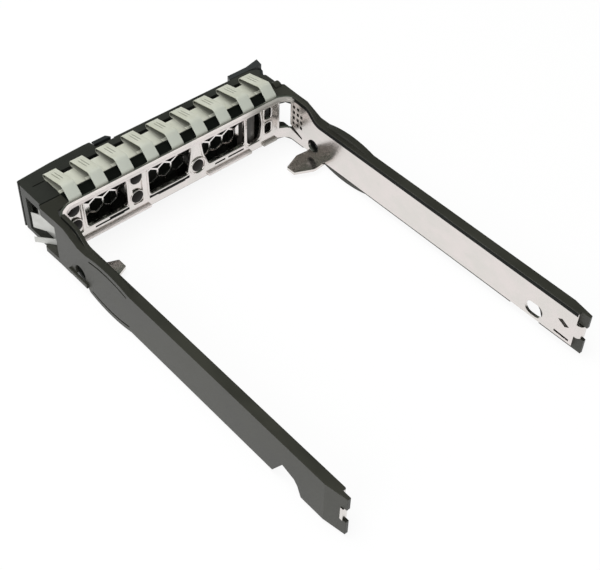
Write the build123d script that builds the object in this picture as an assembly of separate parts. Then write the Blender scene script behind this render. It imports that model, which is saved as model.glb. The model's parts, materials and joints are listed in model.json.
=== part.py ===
from build123d import *
import math
import os

os.makedirs("parts", exist_ok=True)

# A caddy that carries a 2.5 inch drive in a server's hot swap bay. A folded sheet holds the drive
# between two rails, mouldings on the rails slide in the bay's guides, and a moulded bezel in front
# holds the ejector lever, its release button and the grounding fingers.
# X runs across, Y from the front to the connector end, Z up, all in millimetres. The model is drawn
# about the drive: X = 0 is its middle, Y = 0 its front screws, Z = 0 the rails' lower edge. At the
# end it is stood on its runners, with its middle over the origin.

# Drive and its fastening
drive_width = 69.85
drive_gap = 0.425
screw_height = 2.6
screw_spacing = 76.6
screw_hole_radius = 1.9
slot_length = 5.2
screw_head_radius = 3.0
screw_head_depth = 1.1
driver_radius = 2.1
base_height = 3.0

# Folded sheet
sheet = 0.8
rail_height = 10.4
rail_rear = 89.8
wall_rear = -11.05
wall_height = 13.3
wall_inset = 2.85
flare_rear = -8.9
shoulder_start = -2.5
shoulder_end = 0.9
tail_low = 3.2
tail_high = 7.0
tail_cut = 1.6
tail_reach = 2.0
rest_reach = 8.5
rest_front = -2.2
rest_rear = 4.3
window_bottom = 3.7
window_top = 11.9
panel_depth = 0.35

# Runner mouldings
runner_thickness = 1.75
runner_low = -1.25
runner_lip = 0.4
runner_front = -9.5
runner_rear = 90.5
runner_slope_start = -5.5
notch_roof = 1.4
notch_front = -4.6
notch_rear = 3.4
rear_notch_top = 3.75
lead_in_start = 85.0
lead_in = 1.1
tail_clearance = 0.2

# Bow springs along the runners' edges
bow_front = 3.4
bow_rear = 19.8
bow_rise = 1.15
bow_thickness = 1.2
slit_front = 4.5
slit_rear = 19.2
slit_width = 0.45

# Bezel
bezel_inset = 0.575
bezel_front = -25.5
bezel_rear = -15.9
bezel_low = -0.9
bezel_top = 12.9
bezel_wall = 1.2
back_plate = 1.2
side_window_front = -22.8
side_window_top = 10.4
clip_inset = 2.5
clip_sheet = 0.3
face_front = -27.7
peg_radius = 1.7
peg_clearance = 0.1
peg_end = 0.15
post_radius = 2.5
post_inset = 8.2
post_y = -14.8

# Honeycomb screen
screen_front = -14.2
screen_sheet = 0.3
screen_top = 12.6
cell = 4.15
web = 0.5
shoulder_radius = 2.0

# Grounding strip
finger_pitch = 7.6
finger_width = 3.5
finger_inset = 7.45
finger_margin = 6.35
finger_sheet = 0.25
finger_rise = 16.2
finger_bend = -14.85
finger_fold = -23.3
fold_height = 1.5
band_front = -21.65
band_rear = -16.0
pocket_length = 1.35

# Lever, its pin and spring
pivot_inset = 2.5
pivot_y = -20.8
pin_radius = 1.0
pin_clearance = 0.05
knuckle_radius = 2.2
knuckle_top = 8.6
lever_gap = 0.3
lever_end = 8.6
lever_thickness = 3.0
lever_rib = 1.6
cam_width = 6.7
cam_reach = 2.8
cam_overhang = 4.8

# Release button
button_left = 9.8
button_right = 14.8
button_front = -27.6
button_head = 1.2
button_gap = 0.3
stem_rear = -21.5

# Springs and light guides
spring_wire = 0.4
spring_coil = 1.5
spring_turns = 5
spring_leg = 6.0
coil_turns = 3
guide_radius = 0.9
guide_inset = 4.7
guide_upper = 8.6
guide_lower = 3.4

# Worked out from the sizes above
inner = drive_width / 2 + drive_gap
outer = inner + sheet
runner_outer = outer + runner_thickness
runner_top = rail_height + runner_lip
wall_half = inner - wall_inset
wall_front = wall_rear - sheet
bezel_half = runner_outer - bezel_inset
deck_low = bezel_top - bezel_wall
floor_top = bezel_low + bezel_wall
back_front = bezel_rear - back_plate
block_right = wall_half - 0.9
block_left = wall_half + 0.4
clip_seat = bezel_half - clip_inset
post_x = post_inset - wall_half
pivot_x = pivot_inset - bezel_half
guide_x = bezel_half - guide_inset
cam_tip = bezel_front - cam_reach
finger_first = bezel_half - finger_inset
finger_count = round((2 * bezel_half - finger_inset - finger_margin) / finger_pitch) + 1


def facing_front(y):
    """Plane that looks forwards at a given y, with x to the right and z up."""
    return Plane(origin=(0, y, 0), x_dir=(1, 0, 0), z_dir=(0, -1, 0))


def prism(outline, low, high, radius=0.0):
    """Upright prism on a plan outline of (x, y) points."""
    edge = FilletPolyline(*outline, radius=radius, close=True)
    return extrude(Plane.XY.offset(low) * make_face(edge), amount=high - low, dir=(0, 0, 1))


def side_prism(outline, low, high, radius=0.0):
    """Prism across the caddy on a side outline of (y, z) points."""
    edge = FilletPolyline(*outline, radius=radius, close=True)
    return extrude(Plane.YZ.offset(low) * make_face(edge), amount=high - low, dir=(1, 0, 0))


def front_prism(outline, low, high, radius=0.0):
    """Prism along the caddy on a front outline of (x, z) points."""
    edge = FilletPolyline(*outline, radius=radius, close=True)
    return extrude(facing_front(high) * make_face(edge), amount=high - low, dir=(0, -1, 0))


def block(x, y, z):
    """Box between two limits on each axis."""
    size = (x[1] - x[0], y[1] - y[0], z[1] - z[0])
    return Pos((x[0] + x[1]) / 2, (y[0] + y[1]) / 2, (z[0] + z[1]) / 2) * Box(*size)


def rod_x(radius, x, y, z):
    """Rod across the caddy between two x limits."""
    middle = (x[0] + x[1]) / 2
    return Pos(middle, y, z) * Rot(0, 90, 0) * Cylinder(radius, x[1] - x[0])


def rod_y(radius, x, y, z):
    """Rod along the caddy between two y limits."""
    middle = (y[0] + y[1]) / 2
    return Pos(x, middle, z) * Rot(90, 0, 0) * Cylinder(radius, y[1] - y[0])


def rod_z(radius, x, y, z):
    """Upright rod between two z limits."""
    return Pos(x, y, (z[0] + z[1]) / 2) * Cylinder(radius, z[1] - z[0])


def both_sides(solid):
    """A shape and its mirror image across the middle plane."""
    return [solid, mirror(solid, about=Plane.YZ)]


# Tray frame


def tray_strip():
    """The sheet's plan: two rails, flared corners and the front wall, of constant thickness."""
    side = [
        (inner + tail_reach, rail_rear),
        (inner, rail_rear),
        (inner, flare_rear),
        (inner - 0.85, flare_rear - 1.1),
        (wall_half, wall_rear),
    ]
    other = [(-x, y) for x, y in reversed(side)]
    bends = [1.2, 1.5, 1.5, 0.5]
    path = FilletPolyline(*side, *other, radius=bends + bends[::-1])
    plan = make_face(offset(path, amount=sheet, side=Side.LEFT))
    return extrude(plan, amount=wall_height)


def windows():
    """Outlines (x, z) of the wall's three large windows."""
    right = wall_half - 4.0
    left = 11.5 - wall_half
    return [
        [(right, window_top), (right - 0.4, window_bottom), (16.2, window_bottom), (16.2, window_top)],
        [(9.6, window_top), (9.6, window_bottom), (-2.3, window_bottom), (-3.2, 7.5), (-3.9, window_top)],
        [(-6.9, window_top), (-7.6, 7.6), (-9.1, window_bottom), (left, window_bottom), (left, window_top)],
    ]


def pegs():
    """Places (x, z) where the bezel's pegs pass through the wall."""
    return [(wall_half - 1.0, 11.0), (wall_half - 1.2, 5.9), (13.3, 11.1), (13.4, 5.1), (-5.6, 4.9)]


def wall_cuts():
    """What is punched out of the front wall."""
    span = (wall_front - 0.2, wall_rear + 0.2)
    cuts = [front_prism(outline, *span, radius=0.9) for outline in windows()]
    cuts += [rod_y(peg_radius, x, (span[0], wall_rear + 1.2), z) for x, z in pegs()]
    near = post_x + 2.4
    far = post_x - 1.9
    oval = [(near, 2.6), (near, 12.4), (far, 12.4), (far - 0.7, 7.5), (far, 2.6)]
    cuts.append(front_prism(oval, *span, radius=1.8))
    for low, high in ((8.4, 11.7), (3.8, 7.0)):
        small = [(far - 1.7, low), (far - 1.7, high), (far - 3.9, high), (far - 3.9, low)]
        cuts.append(front_prism(small, *span, radius=0.3))
    for x in (13.1, wall_half - 1.65):
        panel = [(x - 1.5, 2.7), (x - 1.5, 12.2), (x + 1.5, 12.2), (x + 1.5, 2.7)]
        cuts.append(front_prism(panel, wall_rear - panel_depth, wall_rear + 0.2, radius=0.6))
    for left, right in ((-20.8, -15.6), (-14.6, -11.2), (-1.5, 7.0), (17.5, 26.0)):
        cuts.append(block((left, right), span, (2.1, 2.6)))
    return cuts


def corner_cuts():
    """What is punched out of a flared corner and the rail behind it."""
    far = runner_outer
    window = block((wall_half + 0.4, far), (wall_front - 1, flare_rear - 0.1), (3.2, 12.0))
    end = flare_rear + 4.5
    slit = [(flare_rear - 0.1, 3.2), (flare_rear - 0.1, 4.6), (end, 2.6), (end, 2.0)]
    cuts = [window, side_prism(slit, inner - 1, far)]
    for back, rows in ((1.0, 4), (2.6, 4), (4.0, 3)):
        y = flare_rear + back
        for row in range(rows):
            z = 5.6 + 1.75 * row
            cuts.append(block((inner - 1, far), (y - 0.45, y + 0.45), (z - 0.45, z + 0.45)))
    return cuts


def rail_cuts():
    """Screw hole, rear slot and the cut corners of one rail's end."""
    span = (inner - 1, outer + 1)
    cuts = [rod_x(screw_hole_radius, span, 0, screw_height)]
    straight = slot_length / 2 - screw_hole_radius
    for y in (screw_spacing - straight, screw_spacing + straight):
        cuts.append(rod_x(screw_hole_radius, span, y, screw_height))
    low = screw_height - screw_hole_radius
    high = screw_height + screw_hole_radius
    cuts.append(block(span, (screw_spacing - straight, screw_spacing + straight), (low, high)))
    tail = (rail_rear - tail_cut, rail_rear + 1)
    reach = (inner - 1, runner_outer + 1)
    cuts.append(block(reach, tail, (-1, tail_low)))
    cuts.append(block(reach, tail, (tail_high, wall_height)))
    end = rail_rear
    cuts.append(side_prism([(end - 6.6, 5.2), (end - 5.4, 5.9), (end - 3.2, 4.7), (end - 4.4, 4.0)], *span))
    cuts.append(side_prism([(end - 6.9, 0.8), (end - 6.9, 1.4), (end - 2.6, 1.2), (end - 2.6, 0.6)], *span))
    for y in (end - 6.9, end - 3.5):
        cuts.append(block(span, (y - 0.4, y + 0.4), (rail_height - 0.7, rail_height + 1)))
    return cuts


def drive_rest():
    """Tab folded in from one rail's lower edge, which the drive's base rests on."""
    top = screw_height - base_height
    plan = [
        (outer, rest_front),
        (inner - 3.4, rest_front - 0.4),
        (inner - rest_reach, rest_front + 1.65),
        (inner - rest_reach, rest_rear - 2.0),
        (inner - 3.4, rest_rear + 0.4),
        (outer, rest_rear),
    ]
    tab = prism(plan, top - sheet, top, radius=[0, 1.0, 0.3, 0.3, 2.0, 0])
    return tab + block((inner, outer), (rest_front, rest_rear), (top - sheet, 0.5))


def tray_frame():
    """The whole folded sheet: wall, flares, rails, drive rests and the hem under the wall."""
    top = [
        (shoulder_start, wall_height),
        (shoulder_end, rail_height),
        (rail_rear + 2, rail_height),
        (rail_rear + 2, wall_height + 1),
        (shoulder_start, wall_height + 1),
    ]
    body = tray_strip() - side_prism(top, -runner_outer - 5, runner_outer + 5)
    hems = [(9.9, wall_half - 2.6), (9.5 - wall_half, -8.7), (0.7 - wall_half, 5.1 - wall_half)]
    for limits in hems:
        body += block(limits, (wall_rear - 0.1, wall_rear + 0.65), (0, sheet))
    body += both_sides(drive_rest())
    body -= wall_cuts()
    for cut in corner_cuts() + rail_cuts():
        body -= both_sides(cut)
    return body


# Runner mouldings, drawn for the +X side


def runner_side():
    """Side outline (y, z) of the runner's plate behind the bezel."""
    end = rail_rear - sheet
    return [
        (runner_front, runner_low),
        (notch_front, runner_low),
        (notch_front, notch_roof - 0.4),
        (notch_front + 1.6, notch_roof - 0.4),
        (notch_front + 3.0, notch_roof),
        (notch_rear - 2.0, notch_roof),
        (notch_rear, runner_low),
        (screw_spacing - 7.2, runner_low),
        (screw_spacing - 4.1, rear_notch_top),
        (screw_spacing - 0.5, rear_notch_top - 1.1),
        (screw_spacing + 0.6, rear_notch_top - 2.3),
        (screw_spacing + 1.75, runner_low),
        (runner_rear, runner_low),
        (runner_rear, tail_low - tail_clearance),
        (end, tail_low - tail_clearance),
        (end, tail_high + tail_clearance),
        (runner_rear, tail_high + tail_clearance),
        (runner_rear, runner_top),
        (shoulder_end - 0.9, runner_top),
        (runner_slope_start, bezel_top),
        (runner_front, bezel_top),
    ]


def bowed_band(edge, rise, near, far):
    """Band across the runner between two arcs, near and far above an edge that bows by a rise."""
    middle = (bow_front + bow_rear) / 2
    lower = ThreePointArc((bow_front, edge + near), (middle, edge + rise + near), (bow_rear, edge + near))
    upper = ThreePointArc((bow_front, edge + far), (middle, edge + rise + far), (bow_rear, edge + far))
    ends = [Line(lower @ 0, upper @ 0), Line(lower @ 1, upper @ 1)]
    face = make_face([lower, upper, *ends])
    return extrude(Plane.YZ.offset(outer) * face, amount=runner_thickness, dir=(1, 0, 0))


def with_bows(plate):
    """The plate with a bow spring along its top and its bottom edge, each cut free by a slit."""
    window = block((outer - 1, runner_outer + 1), (slit_front, slit_rear), (runner_low - 5, runner_top + 5))
    for edge, side in ((runner_top, 1), (runner_low, -1)):
        root = -side * bow_thickness
        plate += bowed_band(edge, side * bow_rise, root, 0)
        plate -= bowed_band(edge, side * bow_rise, root - side * slit_width, root) & window
    return plate


def runner_block(edge):
    """Top and bottom plates in front of the runner, around the side window, from an inner edge."""
    plan = [
        (edge, bezel_rear),
        (bezel_half - 0.1, bezel_rear),
        (runner_outer + 0.2, bezel_rear + 1.0),
        (runner_outer, runner_front + 0.5),
        (outer, runner_front + 0.5),
        (outer, flare_rear - 0.5),
        (inner, flare_rear - 2.4),
        (wall_half + 0.5, wall_front - 0.1),
        (edge, wall_front - 0.1),
    ]
    return prism(plan, side_window_top, bezel_top) + prism(plan, runner_low, floor_top)


def runner(edge):
    """Runner moulding of the +X side, with its front block from an inner edge."""
    body = with_bows(side_prism(runner_side(), outer, runner_outer))
    low = tail_low - tail_clearance
    high = tail_high + tail_clearance
    end = rail_rear - sheet
    body -= prism([(outer, end - 0.6), (outer, rail_rear), (outer + 0.6, end)], low, high)
    lead = [
        (runner_outer, lead_in_start),
        (runner_outer + 1, runner_rear + 1),
        (runner_outer - lead_in, runner_rear + 1),
    ]
    body -= prism(lead, runner_low - 1, bezel_top)
    lip = (shoulder_end + 1.0, rail_rear - tail_cut)
    body += block((inner, outer), lip, (rail_height, runner_top))
    body += runner_block(edge)
    for x, z in pegs():
        body -= rod_y(peg_radius + peg_clearance, x, (bezel_rear - 1, wall_rear), z)
    seat = (outer - 0.1, outer + screw_head_depth)
    for y in (0, screw_spacing - 0.7, screw_spacing + 0.7):
        body -= rod_x(screw_head_radius, seat, y, screw_height)
    return body - rod_x(driver_radius, (outer, runner_outer + 1), 0, screw_height)


# Bezel


def deck_outline():
    """Plan outline of the bezel's top and bottom plates, rounded about the lever's pivot."""
    side = 0.3 - bezel_half
    return [
        (bezel_half, bezel_rear),
        (bezel_half, bezel_front),
        (pivot_x, bezel_front),
        (-bezel_half, pivot_y - 3.4),
        (side + 1.1, pivot_y - 1.5),
        (side, pivot_y - 0.4),
        (side, bezel_rear),
    ]


def bezel_shell():
    """Deck, floor and cheek of the bezel, open in front, at the lever's end and at the side window."""
    shell = prism(deck_outline(), bezel_low, bezel_top, radius=[0, 0.8, 3.0, 0.6, 0.4, 0.8, 0])
    hollow = (floor_top, deck_low)
    front = bezel_front - 5
    shell -= block((-bezel_half - 5, bezel_half - bezel_wall), (front, back_front), hollow)
    shell -= block((-bezel_half - 5, 3.0 - bezel_half), (front, bezel_rear - 1.6), hollow)
    window = (floor_top, side_window_top)
    return shell - block((clip_seat, bezel_half + 1), (side_window_front, bezel_rear + 1), window)


def bezel_body():
    """Hollow front moulding: the shell, with vents, spring pockets, floor, post and pegs."""
    body = bezel_shell()
    for x in vent_places():
        body -= block((x - 4.0, x + 4.0), (back_front - 1, bezel_rear + 1), (2.0, 11.0))
    half = (finger_pitch - finger_width) / 2
    pocket = (band_front - pocket_length, band_front)
    for k in range(finger_count - 1):
        x = finger_first - finger_pitch * (k + 0.5)
        body -= block((x - half, x + half), pocket, (deck_low - 1, bezel_top + 1))
    slit = (bezel_half - 5.5, bezel_half - 2.1)
    body -= block(slit, (pocket[0] + 0.5, pocket[0] + 0.8), (bezel_top - 0.5, bezel_top + 1))
    notch = (button_left - button_gap, button_right + button_gap)
    body -= block(notch, (bezel_front - 1, bezel_front + 0.3), (bezel_low - 1, bezel_top + 1))
    tongue = (1.0 - block_left, block_right - 0.1)
    body += block(tongue, (bezel_rear - 0.1, wall_front), (bezel_low, floor_top))
    body += rod_z(post_radius, post_x, post_y, (bezel_low, bezel_top - 0.4))
    for x, z in pegs():
        body += rod_y(peg_radius, x, (bezel_rear - 0.1, wall_rear + peg_end), z)
    for x, z in pegs()[2:]:
        body += rod_y(shoulder_radius, x, (bezel_rear - 0.1, screen_front), z)
    for z in (guide_lower, guide_upper):
        body -= rod_y(guide_radius, guide_x, (back_front - 1, bezel_rear + 1), z)
    return body


def vent_places():
    """X of the middle of each vent in the bezel's back plate."""
    return [6.5 - wall_half, 17.0 - wall_half, -1.0, wall_half - 10.5]


def bezel_face():
    """Bulging front face beside the lever, with its vents."""
    left = button_right + 0.5
    plan = [
        (bezel_half, bezel_front),
        (bezel_half, bezel_front - 0.9),
        (bezel_half - 9.9, face_front + 0.4),
        (left + 2.2, face_front),
        (left, face_front),
        (left, bezel_front),
    ]
    body = prism(plan, bezel_low, bezel_top, radius=[0, 0.6, 0, 0, 0.5, 0])
    rear = bezel_front + 1.9
    plug = (left + 1.0, bezel_half - bezel_wall - 0.2)
    body += block(plug, (bezel_front - 0.1, rear), (floor_top, deck_low))
    for k in range(4):
        x = left + 3.1 + 3.4 * k
        body -= block((x - 0.9, x + 0.9), (face_front - 1, rear + 1), (2.0, 10.0))
    for z in (guide_lower, guide_upper):
        body -= rod_y(guide_radius, guide_x, (face_front - 1, rear + 1), z)
    return body


# Screen and grounding strips


def vent_screen():
    """Honeycomb screen on the pegs' shoulders, in front of the wall."""
    left = 11.1 - wall_half
    right = wall_half - 3.5
    rear = screen_front + screen_sheet
    body = block((left, right), (screen_front, rear), (floor_top, screen_top))
    rows = 1 + int((screen_top - floor_top - cell) / (cell * math.cos(math.pi / 6)))
    columns = int((right - left) / cell)
    hexagon = RegularPolygon((cell - web) / 2, 6, major_radius=False, rotation=30)
    for row in range(rows + 1):
        z = floor_top + 2.4 + row * cell * math.cos(math.pi / 6)
        for column in range(columns + 1):
            x = left + 1.4 + cell * (column + 0.5 * (row % 2))
            clear = [math.hypot(x - px, z - pz) - peg_radius for px, pz in pegs()]
            if min(clear) > cell / 2 + 0.3:
                place = facing_front(rear + 0.1) * Pos(x, z)
                body -= extrude(place * hexagon, amount=screen_sheet + 0.2)
    for x, z in pegs():
        body -= rod_y(peg_radius, x, (screen_front - 1, rear + 1), z)
    return body


def finger(x):
    """One folded finger: out over the fold, up to the bend and down to the wall's top."""
    path = [
        (band_rear - 1.0, bezel_top),
        (finger_fold, bezel_top),
        (finger_fold, bezel_top + fold_height),
        (finger_bend, finger_rise),
        (wall_front - 0.05, wall_height + 0.3),
        (wall_front - 0.05, wall_height - 0.5),
    ]
    line = FilletPolyline(*path, radius=[0.6, 0.6, 0.8, 0.8])
    profile = make_face(offset(line, amount=finger_sheet, side=Side.LEFT))
    place = Plane.YZ.offset(x - finger_width / 2)
    return extrude(place * profile, amount=finger_width, dir=(1, 0, 0))


def contact_strip_top():
    """Grounding fingers on their carrier band."""
    last = finger_first - finger_pitch * (finger_count - 1)
    span = (last - finger_width / 2, finger_first + finger_width / 2)
    body = block(span, (band_front, band_rear), (bezel_top, bezel_top + finger_sheet))
    for k in range(finger_count):
        body += finger(finger_first - finger_pitch * k)
    return body


def clip_tab(reach, tip_y, root, low, high):
    """Sprung tab of the side clip, from its root out to a tip."""
    x = clip_seat + clip_sheet
    tab = [
        (clip_seat, root),
        (clip_seat + reach - 0.1, tip_y - 0.2),
        (clip_seat + reach, tip_y),
        (x, root + 0.3),
    ]
    return prism(tab, low, high)


def contact_clip_side():
    """Grounding clip in the side window: a plate with two sprung tabs."""
    low = floor_top + 0.1
    plate = block((clip_seat, clip_seat + clip_sheet), (-22.0, -12.6), (low, side_window_top - 0.1))
    return plate + clip_tab(3.1, -20.2, -15.0, 2.8, 7.6) + clip_tab(4.5, -17.9, -13.0, low, 2.0)


# Lever and button


def ejector_lever():
    """Lever with its knuckle, its vented bar and the cam end."""
    low = floor_top + lever_gap
    high = deck_low - lever_gap
    face = bezel_front + 0.1
    rear = bezel_front + lever_thickness
    bar = block((pivot_x, lever_end), (face, rear), (low, high))
    for k in range(9):
        x = lever_end - 3.4 - 3.8 * k
        bar -= block((x - 1.2, x + 1.2), (face - 1, rear + 1), (low + lever_rib, high - lever_rib))
    root = [(pivot_x, pivot_y), (pivot_x, face), (pivot_x + 3.8, face), (pivot_x + 3.8, rear)]
    near = pivot_x + cam_width
    nose = [(near - 0.5, cam_tip + 1.0), (pivot_x - 0.2, cam_tip + 1.0), (pivot_x - cam_overhang, cam_tip)]
    heel = [(pivot_x - 4.1, bezel_front + 0.6), (pivot_x - 2.1, pivot_y - 1.2), (pivot_x, pivot_y)]
    cam = prism([(near, face), *nose, *heel, (pivot_x, face)], low, high)
    back = bezel_front - 0.2
    fin = prism([(near, back), *nose, (pivot_x - 4.3, back)], bezel_low, bezel_top)
    knuckle = rod_z(knuckle_radius, pivot_x, pivot_y, (low, knuckle_top))
    lever = bar + prism(root, low, high) + cam + fin + knuckle
    lever -= rod_z(knuckle_radius + 0.3, pivot_x, pivot_y, (knuckle_top, high + 0.1))
    return lever - rod_z(pin_radius + pin_clearance, pivot_x, pivot_y, (low - 1, high + 1))


def lever_pin():
    """Pin of the lever, held in the bezel's deck and floor."""
    return rod_z(pin_radius, pivot_x, pivot_y, (floor_top, deck_low))


def lever_spring():
    """Close-wound torsion spring on the pin, above the knuckle, with its fixed leg."""
    low = knuckle_top + 0.1
    high = low + spring_wire * spring_turns
    spring = rod_z(spring_coil, pivot_x, pivot_y, (low, high))
    spring -= rod_z(pin_radius, pivot_x, pivot_y, (low - 1, high + 1))
    for k in range(spring_turns):
        z = low + spring_wire * (k + 0.5)
        spring += Pos(pivot_x, pivot_y, z) * Torus(spring_coil, spring_wire / 2 + 0.02)
    y = pivot_y + spring_coil
    leg = (y - spring_wire / 2, y + spring_wire / 2)
    return spring + block((pivot_x, pivot_x + spring_leg), leg, (high - spring_wire, high))


def button_spring():
    """Open coil spring between the button's stem and the bezel's back plate."""
    front = stem_rear + spring_wire / 2
    length = back_front - spring_wire / 2 - front
    coil = Helix(pitch=length / coil_turns, height=length, radius=spring_coil)
    section = Plane(origin=coil @ 0, z_dir=coil % 0) * Circle(spring_wire / 2)
    spring = sweep(section, path=coil)
    x = (button_left + button_right) / 2
    return Pos(x, front, (bezel_low + bezel_top) / 2) * Rot(-90, 0, 0) * spring


def light_guide(z):
    """Clear guide that carries a status light to the front face."""
    return rod_y(guide_radius, guide_x, (face_front + 0.45, bezel_rear), z)


def release_button():
    """Button with its head in front of the deck and a stem behind it."""
    seat = button_front + button_head
    head_plan = [
        (button_right, seat),
        (button_right, button_front),
        (button_left + 0.9, button_front),
        (button_left, seat),
    ]
    head = prism(head_plan, bezel_low + 0.6, bezel_top - 0.2)
    across = (button_left + 0.6, button_right - 0.6)
    stem = block(across, (seat - 0.2, stem_rear), (floor_top + button_gap, deck_low - button_gap))
    return head + stem


stand = Pos(0, -(runner_rear + cam_tip) / 2, bow_rise - runner_low)
pieces = {
    "tray_frame": tray_frame(),
    "runner_right": runner(block_right),
    "runner_left": mirror(runner(block_left), about=Plane.YZ),
    "bezel_body": bezel_body(),
    "bezel_face": bezel_face(),
    "vent_screen": vent_screen(),
    "contact_strip_top": contact_strip_top(),
    "contact_clip_side": contact_clip_side(),
    "ejector_lever": ejector_lever(),
    "lever_pin": lever_pin(),
    "lever_spring": lever_spring(),
    "release_button": release_button(),
    "button_spring": button_spring(),
    "light_guide_upper": light_guide(guide_upper),
    "light_guide_lower": light_guide(guide_lower),
}
for name, piece in pieces.items():
    export_step(stand * piece, f"parts/{name}.step")
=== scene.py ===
"""Looks of a hot swap drive caddy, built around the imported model.

The caddy is a folded steel tray in charcoal runners, with a moulded bezel that carries nine plated
grounding fingers. X runs across, Y from the front to the connector end and Z up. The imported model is
in metres. New pieces are worked out in millimetres about the drive, whose front screws are at Y = 0
and whose rails' lower edges are at Z = 0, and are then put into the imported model's frame.
"""

from __future__ import annotations

import json
import logging
import math
from dataclasses import dataclass, field, replace
from enum import Enum

import bmesh
import bpy
import numpy as np
from mathutils import Matrix, Vector

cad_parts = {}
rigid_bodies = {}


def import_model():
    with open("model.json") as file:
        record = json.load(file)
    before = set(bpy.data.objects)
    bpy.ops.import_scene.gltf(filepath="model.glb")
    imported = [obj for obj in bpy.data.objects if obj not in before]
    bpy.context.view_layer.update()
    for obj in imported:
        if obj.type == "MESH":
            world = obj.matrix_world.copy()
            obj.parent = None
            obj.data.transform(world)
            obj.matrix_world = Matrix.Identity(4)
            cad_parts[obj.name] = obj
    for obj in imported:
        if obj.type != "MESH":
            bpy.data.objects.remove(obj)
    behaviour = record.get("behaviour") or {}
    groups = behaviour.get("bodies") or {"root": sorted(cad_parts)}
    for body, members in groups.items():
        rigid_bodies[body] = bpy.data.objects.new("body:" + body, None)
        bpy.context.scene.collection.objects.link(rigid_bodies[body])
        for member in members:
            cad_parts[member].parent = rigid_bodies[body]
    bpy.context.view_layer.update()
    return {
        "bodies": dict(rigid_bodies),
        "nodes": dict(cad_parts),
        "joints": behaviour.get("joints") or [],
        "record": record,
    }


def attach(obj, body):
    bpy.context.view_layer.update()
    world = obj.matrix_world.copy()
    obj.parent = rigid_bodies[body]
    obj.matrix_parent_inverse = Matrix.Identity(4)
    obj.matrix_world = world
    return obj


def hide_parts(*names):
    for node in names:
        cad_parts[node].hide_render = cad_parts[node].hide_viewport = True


LOG = logging.getLogger("caddy")
MM = 0.001
SCREW_HEIGHT = 2.6
SHARP_ANGLE = math.radians(40)
Colour = tuple[float, float, float]


class Axis(Enum):
    """Direction in which a sheet was rolled or a moulding was drawn."""

    X = 0
    Y = 1
    Z = 2


class Signal:
    """A shader value, which turns arithmetic on it into Math nodes."""

    def __init__(self, graph: "Graph", socket: bpy.types.NodeSocket) -> None:
        """Wraps one socket.

        Args:
            graph: The material's graph that the socket belongs to.
            socket: The output to wrap.
        """
        self.graph = graph
        self.socket = socket

    def _math(self, operation: str, first: object, second: object) -> "Signal":
        """Adds one Math node and returns its result."""
        return self.graph.add("ShaderNodeMath", {"operation": operation}, {0: first, 1: second})

    def __add__(self, other: object) -> "Signal":
        """Sum with a number or a signal."""
        return self._math("ADD", self, other)

    def __radd__(self, other: object) -> "Signal":
        """Sum, with the number first."""
        return self._math("ADD", other, self)

    def __sub__(self, other: object) -> "Signal":
        """Difference from a number or a signal."""
        return self._math("SUBTRACT", self, other)

    def __rsub__(self, other: object) -> "Signal":
        """Difference, with the number first."""
        return self._math("SUBTRACT", other, self)

    def __mul__(self, other: object) -> "Signal":
        """Product with a number or a signal."""
        return self._math("MULTIPLY", self, other)

    def __rmul__(self, other: object) -> "Signal":
        """Product, with the number first."""
        return self._math("MULTIPLY", other, self)

    def band(self, low: float, high: float) -> "Signal":
        """Smooth step from 0 at low to 1 at high."""
        settings = {"interpolation_type": "SMOOTHSTEP"}
        limits = {"Value": self, 1: low, 2: high, 3: 0.0, 4: 1.0}
        return self.graph.add("ShaderNodeMapRange", settings, limits)


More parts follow.
